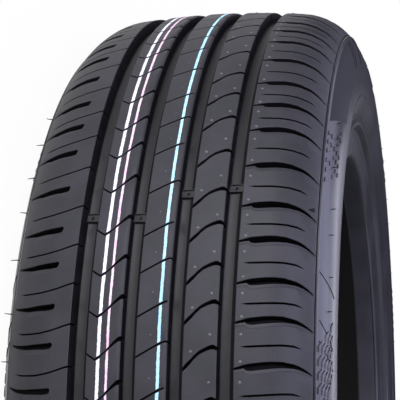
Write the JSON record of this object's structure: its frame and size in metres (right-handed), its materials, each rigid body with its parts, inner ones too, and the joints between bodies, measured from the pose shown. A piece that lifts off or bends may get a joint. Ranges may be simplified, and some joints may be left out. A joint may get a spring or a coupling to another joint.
{
  "type": "car tyre",
  "caption": "Radial passenger car tyre with an asymmetric road tread, wear bars, shoulder slots and sipes, painted marking rings, and cylindrical bead seats for a 16 inch rim.",
  "frame": {"origin": "the middle of the tyre, where its axis of rotation meets the centre plane of the tread", "axes": "Z is the axis of rotation, and +Z points out of the outboard sidewall, the one with the slotted wide shoulder beside it; the tyre lies on its inboard sidewall"},
  "size_m": [0.6321, 0.6322, 0.201],
  "materials": {
    "tread_rubber": "black moulded rubber, satin, a little bluish where it catches the light",
    "white_paint": "matt white marking paint",
    "pink_paint": "matt pale pink marking paint",
    "blue_paint": "matt pale blue marking paint"
  },
  "bodies": {
    "root": {"tyre": "tread_rubber", "white_stripe": "white_paint", "pink_stripe": "pink_paint", "blue_stripe": "blue_paint"}
  },
  "joints": []
}
